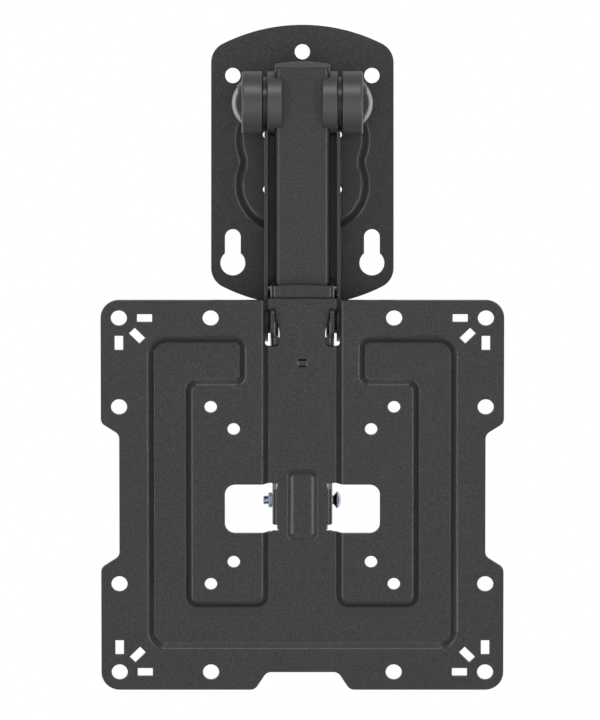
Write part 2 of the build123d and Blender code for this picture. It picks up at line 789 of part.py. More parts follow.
# Tilt bolt, square to the arm, with the pieces that ride on it
tilt_head_start = channel_outer_x + tilt_washer_thickness
tilt_grip = 2 * tilt_head_start + tilt_nut_height + tilt_washer_thickness
with BuildPart() as tilt_bolt:
    with BuildSketch(across(tilt_y, tilt_depth, 1, tilt_head_start)):
        RegularPolygon(tilt_head_flats / 2, 6, major_radius=False)
    extrude(amount=tilt_head_height)
    with BuildSketch(across(tilt_y, tilt_depth, 1, tilt_head_start)):
        Circle(tilt_bolt_diameter / 2)
    extrude(amount=-tilt_grip)
tilt_bolt.part.label = "tilt_bolt"
export_step(tilt_bolt.part, "parts/tilt_bolt.step")

with BuildPart() as tilt_nut:
    with BuildSketch(across(tilt_y, tilt_depth, -1, tilt_head_start)):
        RegularPolygon(tilt_head_flats / 2, 6, major_radius=False)
        Circle((tilt_bolt_diameter + bolt_clearance) / 2, mode=Mode.SUBTRACT)
    extrude(amount=tilt_nut_height)
tilt_nut.part.label = "tilt_nut"
export_step(tilt_nut.part, "parts/tilt_nut.step")


def tilt_ring(side, start, length, radius, label):
    """Flat ring round the tilt bolt."""
    with BuildPart() as ring:
        with BuildSketch(across(tilt_y, tilt_depth, side, start)):
            Circle(radius)
            Circle((tilt_bolt_diameter + bolt_clearance) / 2, mode=Mode.SUBTRACT)
        extrude(amount=length)
    ring.part.label = label
    export_step(ring.part, f"parts/{label}.step")
    return ring.part


tilt_ring(
    1,
    -cover_channel_inner_x,
    2 * cover_channel_inner_x,
    tilt_spacer_diameter / 2,
    "tilt_spacer",
)
for side, side_name in ((-1, "left"), (1, "right")):
    tilt_ring(
        side,
        channel_outer_x,
        tilt_washer_thickness,
        tilt_washer_diameter / 2,
        f"tilt_washer_{side_name}",
    )
    tilt_ring(
        side,
        cheek_outer_x,
        channel_inner_x - cheek_outer_x,
        tilt_washer_diameter / 2,
        f"tilt_friction_{side_name}",
    )

with BuildPart() as limit_pin:
    with BuildSketch(across(tilt_y + limit_pin_radius, tilt_depth, 1, -channel_outer_x)):
        Circle(limit_pin_diameter / 2)
    extrude(amount=channel_width)
limit_pin.part.label = "limit_pin"
export_step(limit_pin.part, "parts/limit_pin.step")

# Head bracket: a channel with cheeks round the tilt bolt, a narrower tail and two hook ears
tail_end_reach = lock_bolt_reach - tail_past_bolt
shoulder_reach = -head_shoulder
tail_start_reach = shoulder_reach - head_taper_length
rib_reach = tv_centre_reach - rib_middle
bridge_reach = tv_centre_reach + bridge_place
hook_top_height = head_face_height + hook_height
hook_seat_reach = tv_centre_reach + ear_window_top


def bent_channel(outer_x, reach):
    """Cross-section of a bent channel at a reach up the bracket, its web towards the television."""
    with BuildSketch(head_cross(reach)) as section:
        with Locations((0, head_face_height)):
            Rectangle(2 * outer_x, 2 * outer_x, align=(Align.CENTER, Align.MAX))
        fillet(section.vertices().group_by(Axis.Y)[-1], head_bend_radius)
        with BuildSketch(mode=Mode.PRIVATE) as hollow:
            with Locations((0, head_back_height)):
                Rectangle(
                    2 * (outer_x - head_sheet), 2 * outer_x, align=(Align.CENTER, Align.MAX)
                )
            fillet(hollow.vertices().group_by(Axis.Y)[-1], head_bend_radius - head_sheet)
        add(hollow.sketch, mode=Mode.SUBTRACT)
    return section.sketch


with BuildPart() as head_bracket:
    extrude(bent_channel(cheek_outer_x, shoulder_reach), amount=head_shoulder + head_top_reach)
    with BuildSketch(head_side(-cheek_outer_x)) as cheek_outline:
        with BuildLine():
            Polyline(
                (head_top_reach, head_face_height),
                (head_top_reach, -cheek_back_height),
                (limit_pin_radius, -cheek_boss_radius),
                (-cheek_boss_end, -cheek_boss_radius),
                (shoulder_reach, -cheek_back_height),
                (shoulder_reach, head_face_height),
                close=True,
            )
        make_face()
        back_corners = cheek_outline.vertices().group_by(Axis.Y)
        fillet(back_corners[0] + back_corners[1], cheek_corner_radius)
    extrude(amount=head_width, mode=Mode.INTERSECT)
    with BuildSketch(head_level(head_face_height)):
        with BuildLine():
            top_arc = ThreePointArc(
                (-cheek_outer_x, head_top_reach - head_top_arch),
                (0, head_top_reach),
                (cheek_outer_x, head_top_reach - head_top_arch),
            )
            Polyline(
                top_arc @ 1,
                (cheek_outer_x, shoulder_reach),
                (-cheek_outer_x, shoulder_reach),
                top_arc @ 0,
            )
        make_face()
    extrude(amount=-head_width, mode=Mode.INTERSECT)
    with BuildSketch(head_level(head_back_height)):
        with BuildLine():
            Polyline(
                (cheek_outer_x - head_bend_radius, shoulder_reach),
                (tail_outer_x - head_bend_radius, tail_start_reach),
                (head_bend_radius - tail_outer_x, tail_start_reach),
                (head_bend_radius - cheek_outer_x, shoulder_reach),
                close=True,
            )
        make_face()
    extrude(amount=head_sheet)
    extrude(bent_channel(tail_outer_x, tail_start_reach), amount=tail_end_reach - tail_start_reach)
    with BuildSketch(head_side(-tail_outer_x)):
        with Locations((tail_end_reach, -cheek_back_height)):
            Rectangle(
                2 * (tail_start_reach - tail_end_reach),
                2 * tail_outer_x,
                align=(Align.CENTER, Align.MAX),
            )
    extrude(amount=tail_width, mode=Mode.SUBTRACT)
    tail_corners = head_bracket.edges().filter_by(Axis.X).group_by(head_down)[-1]
    tail_corners = tail_corners.filter_by(lambda edge: level_in(head_frame, edge) < 0)
    fillet(tail_corners, tail_corner_radius)

    # Windows left where the hook ears are cut free of the web
    with BuildSketch(head_level(head_back_height - head_bend_radius)):
        for side in (-1, 1):
            with Locations((side * (cheek_inner_x - lance_window_width / 2), -lance_window_middle)):
                Rectangle(lance_window_width, lance_window_length)
        with Locations((0, rib_reach)):
            RectangleRounded(
                rib_width + 2 * rib_clearance,
                rib_length + 2 * rib_clearance,
                rib_corner_radius + rib_clearance,
            )
    extrude(amount=head_bend_radius + head_sheet, mode=Mode.SUBTRACT)
    for cheek_start in (-cheek_outer_x, cheek_inner_x):
        with BuildSketch(head_side(cheek_start)) as hook:
            with BuildLine():
                Polyline(
                    (hook_seat_reach, head_back_height),
                    (hook_seat_reach, tv_dish_height + hook_gap),
                    (hook_seat_reach + hook_nose, tv_dish_height + hook_gap),
                    (hook_seat_reach + hook_nose, hook_top_height),
                    (hook_seat_reach - hook_length, hook_top_height),
                    (hook_seat_reach - hook_length, head_back_height),
                    close=True,
                )
            make_face()
            fillet(hook.vertices().group_by(Axis.Y)[-1], hook_end_radius)
        extrude(amount=head_sheet)

    # Bores for the tilt and lock bolts, and the curved slots of the limit pin
    with BuildSketch(head_side(-cheek_outer_x)):
        Circle(tilt_bolt_diameter / 2 + running_clearance)
    extrude(amount=head_width, mode=Mode.SUBTRACT)
    with BuildSketch(head_side(-tail_outer_x)):
        with Locations((lock_bolt_reach, lock_bolt_height)):
            Circle((lock_bolt_diameter + bolt_clearance) / 2)
    extrude(amount=tail_width, mode=Mode.SUBTRACT)
    limit_arc = CenterArc((0, 0), limit_pin_radius, -tilt_rest_angle, tilt_rest_angle)
    with BuildSketch(head_side(-cheek_outer_x)):
        SlotArc(limit_arc, limit_pin_diameter + limit_slot_margin)
    extrude(amount=head_width, mode=Mode.SUBTRACT)
head_bracket.part.label = "head_bracket"
export_step(head_bracket.part, "parts/head_bracket.step")

# Outline of the television plate: a notch in the middle of each side and of the far end
with BuildSketch() as tv_outline:
    Rectangle(tv_width, tv_width)
    fillet(tv_outline.vertices(), tv_corner_radius)
    for side in (-1, 1):
        with BuildLine():
            Polyline(
                (side * half_tv, side_notch_mouth / 2),
                (side * (half_tv - notch_depth), side_notch_floor / 2),
                (side * (half_tv - notch_depth), -side_notch_floor / 2),
                (side * half_tv, -side_notch_mouth / 2),
                close=True,
            )
        make_face(mode=Mode.SUBTRACT)
    with BuildLine():
        Polyline(
            (-end_notch_mouth / 2, -half_tv),
            (-end_notch_floor / 2, notch_depth - half_tv),
            (end_notch_floor / 2, notch_depth - half_tv),
            (end_notch_mouth / 2, -half_tv),
            close=True,
        )
    make_face(mode=Mode.SUBTRACT)
    side_corners = tv_outline.vertices().filter_by_position(
        Axis.Y, -side_notch_mouth / 2 - 1, side_notch_mouth / 2 + 1
    )
    end_corners = tv_outline.vertices().filter_by_position(
        Axis.X, -end_notch_mouth / 2 - 1, end_notch_mouth / 2 + 1
    )
    fillet(side_corners + end_corners, notch_radius)

# Outline of the dished part: a ring of bars, two hooks and a strip up through the top edge
with BuildSketch() as dish_outline:
    with BuildLine() as dish_half:
        Polyline(
            (0, tv_width),
            (strip_half_width, tv_width),
            (strip_half_width, -island_bottom),
            (island_half_width, -island_bottom),
            (island_half_width, island_top),
            (neck_half_width, island_top),
            (neck_half_width, dish_top),
            (dish_half_width, dish_top),
            (dish_half_width, -dish_bottom),
            (0, -dish_bottom),
        )
        mirror(about=Plane.YZ)
    make_face()
    inner_corners = dish_outline.vertices().filter_by(
        lambda point: abs(point.X) < neck_half_width - 1 and -dish_bottom + 1 < point.Y < dish_top
    ) + dish_outline.vertices().filter_by(
        lambda point: neck_half_width + 1 < abs(point.X) < dish_half_width - 1
    )
    fillet(inner_corners, island_corner_radius)
    neck_corners = dish_outline.vertices().filter_by(
        lambda point: abs(abs(point.X) - neck_half_width) < 0.01
    )
    fillet(neck_corners, hook_corner_radius)
    outer_corners = dish_outline.vertices().filter_by(
        lambda point: abs(abs(point.X) - dish_half_width) < 0.01
    )
    fillet(outer_corners, dish_corner_radius)


def in_dish(edge):
    """Whether an edge lies inside the television plate's dished part."""
    place = tv_level(0).to_local_coords(edge.center())
    return abs(place.X) < dish_half_width + 1 and -dish_bottom - 1 < place.Y < half_tv - 1


def in_rib(edge):
    """Whether an edge lies round the rib in the middle of the strip."""
    place = tv_level(0).to_local_coords(edge.center())
    return abs(place.X) < rib_width and abs(place.Y + rib_middle) < rib_length


def on_tab_bend(edge):
    """Whether an edge is the outer corner between the strip and a tab."""
    place = tv_level(0).to_local_coords(edge.center())
    return abs(abs(place.X) - tab_outer_x) < 0.01 and abs(place.Y - tab_middle) < 0.01


with BuildPart() as vesa_plate:
    with BuildSketch(tv_level(tv_face_height - tv_sheet)):
        add(tv_outline.sketch)
    extrude(amount=tv_sheet)
    with BuildSketch(tv_level(tv_face_height - tv_sheet)):
        add(dish_outline.sketch)
    extrude(amount=-tv_dish_depth, taper=dish_slope_angle)
    with BuildSketch(tv_level(tv_face_height)):
        add(dish_outline.sketch)
    extrude(amount=-tv_dish_depth, taper=dish_slope_angle, mode=Mode.SUBTRACT)
    with BuildSketch(tv_level(0)):
        with Locations((0, half_tv)):
            Rectangle(tv_width, tv_width, align=(Align.CENTER, Align.MIN))
    extrude(amount=tv_face_height, mode=Mode.SUBTRACT)
    outer_bends = edges_level(vesa_plate, head_frame, tv_face_height).filter_by(in_dish)
    fillet(outer_bends, dish_outer_bend)
    inner_bends = edges_level(vesa_plate, head_frame, tv_dish_height).filter_by(in_dish)
    fillet(inner_bends, dish_inner_bend)

    # Deeper rib along the middle of the strip
    with BuildSketch(tv_level(head_face_height)):
        with Locations((0, -rib_middle)):
            RectangleRounded(rib_width, rib_length, rib_corner_radius)
    extrude(amount=-rib_depth, taper=rib_slope_angle)
    with BuildSketch(tv_level(tv_dish_height)):
        with Locations((0, -rib_middle)):
            RectangleRounded(rib_width, rib_length, rib_corner_radius)
    extrude(amount=-rib_depth, taper=rib_slope_angle, mode=Mode.SUBTRACT)
    rib_edges = edges_level(vesa_plate, head_frame, tv_dish_height).filter_by(in_rib)
    fillet(rib_edges, rib_outer_bend)

    # Windows each side of the strip, with relief notches at both ends of each tab
    with BuildSketch(tv_level(0)) as windows:
        for side in (-1, 1):
            with Locations((side * (tab_outer_x + window_half_width) / 2, tab_middle)):
                Rectangle(window_half_width - tab_outer_x, window_top + window_bottom)
        fillet(windows.vertices().group_by(Axis.X)[0], window_corner_radius)
        fillet(windows.vertices().group_by(Axis.X)[-1], window_corner_radius)
        for side in (-1, 1):
            for end in (-1, 1):
                relief_middle = tab_middle + end * (tab_length + tab_relief_width) / 2
                with Locations((side * (tab_outer_x - tab_relief_depth / 2), relief_middle)):
                    Rectangle(tab_relief_depth, tab_relief_width)
    extrude(amount=tv_face_height, mode=Mode.SUBTRACT)

    # Tabs bent back from the strip, which the lock bolt passes through
    for side in (-1, 1):
        with BuildSketch(tv_level(tv_dish_height)):
            with Locations((side * (tab_outer_x - tv_sheet / 2), tab_middle)):
                Rectangle(tv_sheet, tab_length)
        extrude(amount=-tab_reach)
    tab_tops = edges_level(vesa_plate, head_frame, tv_dish_height).filter_by(on_tab_bend)
    fillet(tab_tops, tab_bend_radius + tv_sheet)
    tab_end_corners = vesa_plate.edges().filter_by(Axis.X).filter_by(
        lambda edge: abs(level_in(head_frame, edge) - tv_dish_height + tab_reach) < 0.01
    )
    fillet(tab_end_corners, tab_corner_radius)
    with BuildSketch(head_side(-tab_outer_x)):
        with Locations((lock_bolt_reach, lock_bolt_height)):
            Circle((lock_bolt_diameter + bolt_clearance) / 2)
    extrude(amount=tab_outer_width, mode=Mode.SUBTRACT)

    # Windows for the ends of the arm and the hook ears, straight outside and curved inside
    with BuildSketch(tv_level(0)) as ear_windows:
        for side in (-1, 1):
            with BuildLine():
                inner_curve = ThreePointArc(
                    (side * ear_window_neck, ear_window_top),
                    (side * ear_window_waist, ear_window_top - ear_window_curve / 2),
                    (side * ear_window_inner, ear_window_top - ear_window_curve),
                )
                Polyline(
                    inner_curve @ 1,
                    (side * ear_window_inner, ear_window_bottom),
                    (side * ear_window_outer, ear_window_bottom),
                    (side * ear_window_outer, ear_window_top),
                    inner_curve @ 0,
                )
            make_face()
        fillet(ear_windows.vertices().group_by(Axis.Y)[0], ear_window_radius)
    extrude(amount=tv_face_height, mode=Mode.SUBTRACT)

    # Holes: the wide pattern, its four middles, the two inner patterns and the corner slots
    with BuildSketch(tv_level(tv_face_height)):
        with GridLocations(wide_pattern, wide_pattern, 2, 2):
            Circle(wide_hole_diameter / 2)
        with GridLocations(middle_pattern, wide_pattern, 2, 2):
            Circle(wide_hole_diameter / 2)
        with GridLocations(wide_pattern, middle_pattern, 2, 2):
            Circle(wide_hole_diameter / 2)
        with GridLocations(middle_pattern, middle_pattern, 2, 2):
            Circle(small_hole_diameter / 2)
        with GridLocations(small_pattern, small_pattern, 2, 2):
            Circle(small_hole_diameter / 2)
        for corner_x in (-1, 1):
            for corner_y in (-1, 1):
                towards = math.degrees(math.atan2(-corner_y, -corner_x))
                corner = (corner_x * wide_pattern / 2, corner_y * wide_pattern / 2)
                with Locations(corner):
                    for turn in (-45, 0, 45):
                        with PolarLocations(corner_slot_distance, 1, start_angle=towards + turn):
                            Rectangle(corner_slot_length, corner_slot_width)
    extrude(amount=-tv_sheet, mode=Mode.SUBTRACT)

    # Lanced bridge above the rib: a strip pressed outwards between two slits
    for bridge_mode, base_height in ((Mode.SUBTRACT, head_face_height), (Mode.ADD, tv_dish_height)):
        with BuildSketch(head_cross(bridge_reach - bridge_width / 2)):
            with BuildLine():
                Polyline(
                    (-bridge_foot_length / 2, base_height),
                    (-bridge_top_length / 2, base_height + bridge_height),
                    (bridge_top_length / 2, base_height + bridge_height),
                    (bridge_foot_length / 2, base_height),
                    close=True,
                )
            make_face()
        extrude(amount=bridge_width, mode=bridge_mode)
    with BuildSketch(tv_level(tv_dish_height)):
        with Locations((0, bridge_place)):
            with GridLocations(0, bridge_width + bridge_slit, 1, 2):
                Rectangle(bridge_top_length, bridge_slit)
    extrude(amount=-tv_sheet, mode=Mode.SUBTRACT)
vesa_plate.part.label = "vesa_plate"
export_step(vesa_plate.part, "parts/vesa_plate.step")

# Lock bolt through the tabs and the tail of the bracket, with its nut on the other side
lock_head_start = tab_outer_x + lock_head_standoff
lock_shank_length = lock_head_start + tab_outer_x + lock_nut_height + lock_thread_past_nut
lock_y = (head_side(0).from_local_coords((lock_bolt_reach, lock_bolt_height, 0))).Y
lock_depth = -(head_side(0).from_local_coords((lock_bolt_reach, lock_bolt_height, 0))).Z
with BuildPart() as lock_bolt:
    with BuildSketch(axle_plane(lock_y, lock_depth, 1)):
        with BuildLine():
            head_arc = dome_arc(lock_head_start, lock_head_diameter / 2, lock_head_height)
            Polyline(
                head_arc @ 1,
                (lock_head_start - lock_shank_length, 0),
                (lock_head_start - lock_shank_length, lock_bolt_diameter / 2 - lock_thread_end),
                (lock_head_start - lock_shank_length + lock_thread_end, lock_bolt_diameter / 2),
                (lock_head_start - lock_neck_length, lock_bolt_diameter / 2),
                head_arc @ 0,
            )
        make_face()
    revolve(axis=cross_axis(lock_y, lock_depth))
    with BuildSketch(across(lock_y, lock_depth, 1, lock_head_start + lock_head_height)):
        RegularPolygon(lock_socket_flats / 2, 6, major_radius=False)
    extrude(amount=-lock_socket_depth, mode=Mode.SUBTRACT)
lock_bolt.part.label = "lock_bolt"
export_step(lock_bolt.part, "parts/lock_bolt.step")

with BuildPart() as lock_nut:
    with BuildSketch(across(lock_y, lock_depth, -1, tab_outer_x)):
        RegularPolygon(lock_nut_flats / 2, 6, major_radius=False)
        Circle((lock_bolt_diameter + bolt_clearance) / 2, mode=Mode.SUBTRACT)
    extrude(amount=lock_nut_height)
lock_nut.part.label = "lock_nut"
export_step(lock_nut.part, "parts/lock_nut.step")
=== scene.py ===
"""Folding ceiling mount for a television, seen from below against white.

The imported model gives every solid. This script rounds the edges of the coated sheets, chamfers the
nuts, cuts the threads of the bolts, gives each piece its finish and sets up the studio.
"""

import json
import logging
import math
from collections.abc import Iterator
from contextlib import contextmanager
from dataclasses import dataclass, field
from enum import Enum, IntEnum
from typing import ClassVar

import bpy
from mathutils import Matrix, Vector
from mathutils.bvhtree import BVHTree

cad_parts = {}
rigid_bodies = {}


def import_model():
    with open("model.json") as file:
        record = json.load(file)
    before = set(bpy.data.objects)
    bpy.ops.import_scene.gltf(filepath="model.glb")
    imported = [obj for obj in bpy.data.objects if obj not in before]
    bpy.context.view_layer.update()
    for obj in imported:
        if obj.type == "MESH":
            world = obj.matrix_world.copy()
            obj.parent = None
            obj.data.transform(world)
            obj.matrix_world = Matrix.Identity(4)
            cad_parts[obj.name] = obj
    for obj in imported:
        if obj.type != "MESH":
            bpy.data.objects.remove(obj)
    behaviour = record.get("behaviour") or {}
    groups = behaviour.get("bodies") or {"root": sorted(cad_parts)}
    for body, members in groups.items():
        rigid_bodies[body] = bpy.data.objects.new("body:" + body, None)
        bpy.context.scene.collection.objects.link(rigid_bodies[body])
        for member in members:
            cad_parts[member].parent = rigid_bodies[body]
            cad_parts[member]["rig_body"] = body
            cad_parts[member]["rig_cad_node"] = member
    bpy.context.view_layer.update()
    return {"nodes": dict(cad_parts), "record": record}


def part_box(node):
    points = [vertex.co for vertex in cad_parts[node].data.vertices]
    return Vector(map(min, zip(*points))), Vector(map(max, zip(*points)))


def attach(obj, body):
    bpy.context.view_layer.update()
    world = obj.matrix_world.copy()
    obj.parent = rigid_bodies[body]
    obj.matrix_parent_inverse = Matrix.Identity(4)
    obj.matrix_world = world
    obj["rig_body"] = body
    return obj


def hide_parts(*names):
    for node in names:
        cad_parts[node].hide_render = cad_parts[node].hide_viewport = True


LOG = logging.getLogger("ceiling_mount")
MM = 0.001
WHITE = (1.0, 1.0, 1.0, 1.0)
# Cuts are exact: Blender's own threshold of a tenth of a millimetre would leave small holes
CUT_SLACK = 1e-7
# Where the grain's noise turns from the dark tone through the base tone to the light one
GRAIN_DARK, GRAIN_BASE, GRAIN_LIGHT = 0.34, 0.5, 0.68
# Widths of the broad clouds in the colour and of the handled spots in the gloss, in grains
CLOUD_GRAINS = 40
HANDLED_GRAINS = 12
# Sockets of the colour Mix node, which share their names with those for numbers
MIX_FACTOR, MIX_FIRST, MIX_SECOND, MIX_RESULT = 0, 6, 7, 2
# Cosine that tells a cylinder's caps from its wall
CAP_COSINE = 0.9


class Slot(Enum):
    """Material slots of the record."""

    BLACK_STEEL = "black_steel"
    BLACK_PLASTIC = "black_plastic"
    CAP_PLASTIC = "cap_plastic"
    NYLON = "nylon"
    BLUE_ZINC = "blue_zinc"
    DARK_HARDWARE = "dark_hardware"


class Axis(IntEnum):
    """Axes of the shared frame, by their place in a vector."""

    X = 0
    Z = 2


class Body(Enum):
    """Rigid bodies of the mount."""

    CEILING = "ceiling_part"
    YOKE = "yoke"
    ARM = "arm"
    HEAD = "head"


def linear(hex_colour: str) -> tuple[float, float, float, float]:
    """Turn an sRGB colour into the linear one that shaders take.

    Args:
        hex_colour: Six hex digits after a hash.

    Returns:
        Linear red, green and blue, with an alpha of 1.
    """
    parts = [int(hex_colour[start : start + 2], 16) / 255 for start in (1, 3, 5)]
    red, green, blue = (
        part / 12.92 if part <= 0.04045 else ((part + 0.055) / 1.055) ** 2.4 for part in parts
    )
    return red, green, blue, 1.0


def add_node(
    tree: bpy.types.NodeTree,
    kind: str,
    links: dict[str | int, object] | None = None,
    **settings: object,
) -> bpy.types.Node:
    """Add a node to a tree, with its settings, values and links.

    Args:
        tree: Node tree that takes the node.
        kind: Node type, without the leading ShaderNode.
        links: Input socket to a value, or to the output socket that feeds it.
        **settings: Properties of the node.

    Returns:
        The new node.
    """
    node = tree.nodes.new("ShaderNode" + kind)
    for name, value in settings.items():
        setattr(node, name, value)
    for socket, value in (links or {}).items():
        if isinstance(value, bpy.types.NodeSocket):
            tree.links.new(value, node.inputs[socket])
        else:
            node.inputs[socket].default_value = value
    return node


@dataclass(frozen=True)
class Finish:
    """One surface finish, made once and shared.

    The grain is a noise of a real size: it lightens and darkens the colour a little and raises the
    surface by its height. A broad cloud, forty grains wide, keeps large flats from looking dead.
    """

    name: str
    base_hex: str
    dark_hex: str
    light_hex: str
    roughness: float
    grain_mm: float
    grain_height_mm: float
    specular: float = 0.5
    metallic: float = 0.0
    roughness_spread: float = 0.05
    cloud_spread: float = 0.08

    def build(self) -> bpy.types.Material:
        """Make the material.

        Returns:
            The finished material.
        """
        material = bpy.data.materials.new(self.name)
        material.use_nodes = True
        tree = material.node_tree
        tree.nodes.clear()
        place = add_node(tree, "TexCoord").outputs["Object"]
        grain = add_node(
            tree,
            "TexNoise",
            {"Vector": place, "Scale": 1 / (self.grain_mm * MM), "Detail": 2.0},
        ).outputs["Fac"]
        shader = add_node(
            tree,
            "BsdfPrincipled",
            {
                "Base Color": self.colour(tree, place, grain),
                "Metallic": self.metallic,
                "Specular IOR Level": self.specular,
                "Roughness": self.gloss(tree, place),
                "Normal": self.relief(tree, grain),
            },
        )
        add_node(tree, "OutputMaterial", {"Surface": shader.outputs["BSDF"]})
        return material

    def colour(
        self, tree: bpy.types.NodeTree, place: bpy.types.NodeSocket, grain: bpy.types.NodeSocket
    ) -> bpy.types.NodeSocket:
        """Mottle the colour with the grain and with broad, faint clouds.

        Args:
            tree: Node tree of the material.
            place: Output socket with the object's coordinates.
            grain: Output socket with the grain's height.

        Returns:
            The colour's output socket.
        """
        mottle = add_node(tree, "ValToRGB", {"Fac": grain})
        dark, light = mottle.color_ramp.elements
        dark.position, light.position = GRAIN_DARK, GRAIN_LIGHT
        dark.color, light.color = linear(self.dark_hex), linear(self.light_hex)
        mottle.color_ramp.elements.new(GRAIN_BASE).color = linear(self.base_hex)
        broad = add_node(
            tree,
            "TexNoise",
            {
                "Vector": place,
                "Scale": 1 / (self.grain_mm * CLOUD_GRAINS * MM),
                "Detail": 3.0,
            },
        )
        cloud = add_node(
            tree,
            "MapRange",
            {
                "Value": broad.outputs["Fac"],
                "To Min": 1 - self.cloud_spread,
                "To Max": 1 + self.cloud_spread,
            },
        )
        clouded = add_node(
            tree,
            "Mix",
            {
                MIX_FACTOR: 1.0,
                MIX_FIRST: mottle.outputs["Color"],
                MIX_SECOND: cloud.outputs["Result"],
            },
            data_type="RGBA",
            blend_type="MULTIPLY",
        )
        return clouded.outputs[MIX_RESULT]

    def gloss(self, tree: bpy.types.NodeTree, place: bpy.types.NodeSocket) -> bpy.types.NodeSocket:
        """Vary the roughness a little from place to place.

        Args:
            tree: Node tree of the material.
            place: Output socket with the object's coordinates.

        Returns:
            The roughness's output socket.
        """
        handled = add_node(
            tree,
            "TexNoise",
            {
                "Vector": place,
                "Scale": 1 / (self.grain_mm * HANDLED_GRAINS * MM),
                "Detail": 4.0,
            },
        )
        spread = add_node(
            tree,
            "MapRange",
            {
                "Value": handled.outputs["Fac"],
                "To Min": self.roughness - self.roughness_spread,
                "To Max": self.roughness + self.roughness_spread,
            },
        )
        return spread.outputs["Result"]

    def relief(self, tree: bpy.types.NodeTree, grain: bpy.types.NodeSocket) -> bpy.types.NodeSocket:
        """Raise the grain by its real height.

        Args:
            tree: Node tree of the material.
            grain: Output socket with the grain's height.

        Returns:
            The normal's output socket.
        """
        bump = add_node(
            tree,
            "Bump",
            {"Height": grain, "Distance": self.grain_height_mm * MM, "Strength": 1.0},
        )
        return bump.outputs["Normal"]


# Fine-textured polyester powder coat: a dull charcoal with a sandy grain, drawn 0.7 mm wide so that
# it shows, where a real one is about half as wide
POWDER_COAT = Finish(
    "powder_coat", "#222224", "#161618", "#2f2f31", 0.30, 0.7, 0.008, specular=0.22
)
# Moulded ABS with an eroded mould texture: lighter and more even than the coat, with a broad sheen
MOULDED_ABS = Finish(
    "moulded_abs", "#2a2a2c", "#272729", "#2d2d2f", 0.40, 0.3, 0.004, specular=0.35
)
# ABS from a polished mould, for the caps: a deeper black with a clear, tight highlight
POLISHED_ABS = Finish(
    "polished_abs", "#141416", "#121214", "#161618", 0.08, 0.5, 0.0005, specular=0.3
)
# Cut nylon sheet of the friction washers: black and even, slightly waxy
NYLON = Finish("cut_nylon", "#202020", "#1d1d1d", "#242424", 0.5, 0.4, 0.002, specular=0.3)
# Blue-passivated zinc plating: bluish metal with a soft, slightly uneven gloss
BLUE_ZINC = Finish(
    "blue_zinc", "#676d7e", "#5a6070", "#767c8c", 0.25, 0.4, 0.002, metallic=1.0
)
# Black oxide on steel: very dark metal, oiled
BLACK_OXIDE = Finish(
    "black_oxide", "#45454a", "#3e3e42", "#4e4e52", 0.34, 0.4, 0.003, metallic=1.0
)

SLOT_FINISH = {
    Slot.BLACK_STEEL: POWDER_COAT,
    Slot.BLACK_PLASTIC: MOULDED_ABS,
    Slot.CAP_PLASTIC: POLISHED_ABS,
    Slot.NYLON: NYLON,
    Slot.BLUE_ZINC: BLUE_ZINC,
    Slot.DARK_HARDWARE: BLACK_OXIDE,
}


@dataclass
class FinishShelf:
    """The made materials, one per slot."""

    made: dict[Slot, bpy.types.Material] = field(default_factory=dict)

    def get(self, slot: Slot) -> bpy.types.Material:
        """Fetch a slot's material, made on first use.

        Args:
            slot: Material slot of the record.

        Returns:
            The slot's material.
        """
        if slot not in self.made:
            self.made[slot] = SLOT_FINISH[slot].build()
        return self.made[slot]


def select_only(piece: bpy.types.Object) -> None:
    """Deselect everything, then select and activate one piece.

    Args:
        piece: Object to work on.
    """
    bpy.ops.object.select_all(action="DESELECT")
    piece.select_set(True)
    bpy.context.view_layer.objects.active = piece


@contextmanager
def whole_mesh(piece: bpy.types.Object) -> Iterator[None]:
    """Open a piece in edit mode with its whole mesh selected, and close it again.

    Args:
        piece: Object to work on.

    Yields:
        Nothing: the operators act on the selection.
    """
    select_only(piece)
    bpy.ops.object.mode_set(mode="EDIT")
    bpy.ops.mesh.select_all(action="SELECT")
    yield
    bpy.ops.object.mode_set(mode="OBJECT")


def apply_modifier(piece: bpy.types.Object, kind: str, **settings: object) -> None:
    """Add a modifier to a piece and apply it.

    Args:
        piece: Object that takes the modifier.
        kind: Blender's modifier type.
        **settings: Properties of the modifier.
    """
    select_only(piece)
    modifier = piece.modifiers.new(kind.lower(), kind)
    for name, value in settings.items():
        setattr(modifier, name, value)
    bpy.ops.object.modifier_apply(modifier=modifier.name)


def combine(piece: bpy.types.Object, tool: bpy.types.Object, operation: str) -> None:
    """Shape a piece with a tool body, which is used up.

    Args:
        piece: Object to shape.
        tool: Closed body that cuts, limits or joins the piece.
        operation: Blender's name for the Boolean operation.
    """
    apply_modifier(piece, "BOOLEAN", operation=operation, object=tool, solver="EXACT")
    bpy.data.objects.remove(tool)


def cut_square(piece: bpy.types.Object, place: Vector, keep: Vector) -> None:
    """Cut a piece off at a plane and close the cut.

    Args:
        piece: Object to cut.
        place: Point on the plane.
        keep: Direction from the plane to the side that stays.
    """
    with whole_mesh(piece):
        bpy.ops.mesh.bisect(
            plane_co=place, plane_no=keep, use_fill=True, clear_inner=True, threshold=CUT_SLACK
        )


def set_on_axis(piece: bpy.types.Object, place: Vector, direction: Vector) -> None:
    """Move an upright body to a bolt's axis and keep that place in its mesh.

    Args:
        piece: Body that stands along the vertical axis.
        place: Point that its origin moves to.
        direction: Direction that its upper end turns to.
    """
    piece.rotation_mode = "QUATERNION"
    piece.rotation_quaternion = direction.to_track_quat("Z", "Y")
    piece.location = place
    select_only(piece)
    bpy.ops.object.transform_apply(location=True, rotation=True, scale=True)


def move_along(place: Vector, axis: Axis, value: float) -> Vector:
    """Copy a point with one of its coordinates changed.

    Args:
        place: Point to copy.
        axis: Coordinate that changes.
        value: New value of the coordinate.

    Returns:
        The new point.
    """
    moved = place.copy()
    moved[axis] = value
    return moved


